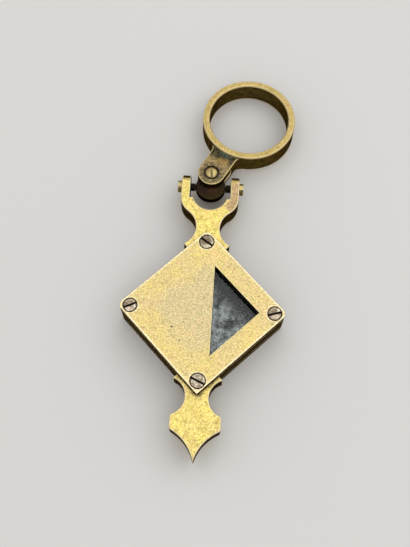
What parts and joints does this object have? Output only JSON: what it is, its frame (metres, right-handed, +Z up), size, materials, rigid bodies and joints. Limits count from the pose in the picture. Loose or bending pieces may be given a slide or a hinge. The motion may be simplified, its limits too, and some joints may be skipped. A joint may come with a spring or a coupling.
{
  "type": "surveying level",
  "caption": "Hand-held reflecting level: a square brass case with a mirror window on each face, hung by a two-axis joint from a finger ring and steadied by a pointed drop weight.",
  "frame": {"origin": "centre of the back cover's outer face, on which the level lies", "axes": "+Z up through the case to the front cover, +Y from the drop weight's tip to the finger ring, +X to the right as seen from the front"},
  "size_m": [0.0451, 0.1123, 0.0112],
  "materials": {
    "cover_brass": "aged satin brass with fine dark speckles and bright worn edges",
    "frame_brass": "dark brown patina over fine filing lines",
    "casting_brass": "yellow satin brass with fine speckles and brown sides",
    "ring_brass": "olive brown brass with bright rubbed edges",
    "block_brass": "dark patina",
    "screw_steel": "worn nickel-coloured steel with dark slots",
    "screw_brass": "rubbed brass with a dark slot",
    "mirror_glass": "clear old plate glass, slightly grey",
    "silvering": "cloudy, spotted old silvering",
    "felt": "brown felt"
  },
  "bodies": {
    "pendulum": {"front_cover": "cover_brass", "back_cover": "cover_brass", "case_frame": "frame_brass", "yoke": "casting_brass", "drop_weight": "casting_brass", "front_mirror_glass": "mirror_glass", "front_silvering": "silvering", "packing_pad": "felt", "back_silvering": "silvering", "back_mirror_glass": "mirror_glass", "side_screws_front": "screw_steel", "side_screws_back": "screw_steel", "yoke_screw_front": "screw_steel", "yoke_screw_back": "screw_steel", "drop_screw_front": "screw_steel", "drop_screw_back": "screw_steel", "left_trunnion_screw": "screw_brass", "right_trunnion_screw": "screw_brass"},
    "swivel": {"swivel_block": "block_brass"},
    "ring": {"pivot_screw": "screw_brass", "ring_fork": "ring_brass", "finger_ring": "ring_brass"}
  },
  "joints": [
    {"name": "trunnion_hinge", "type": "hinge", "parent": "pendulum", "child": "swivel", "pos_m": [0, 0.0376, 0.0056], "axis": [1, 0, 0], "range_deg": [-86, 93]},
    {"name": "pivot_hinge", "type": "hinge", "parent": "swivel", "child": "ring", "pos_m": [0, 0.04134, 0.00534], "axis": [0, 0.0681, 0.9977], "range_deg": [-19, 76]}
  ]
}
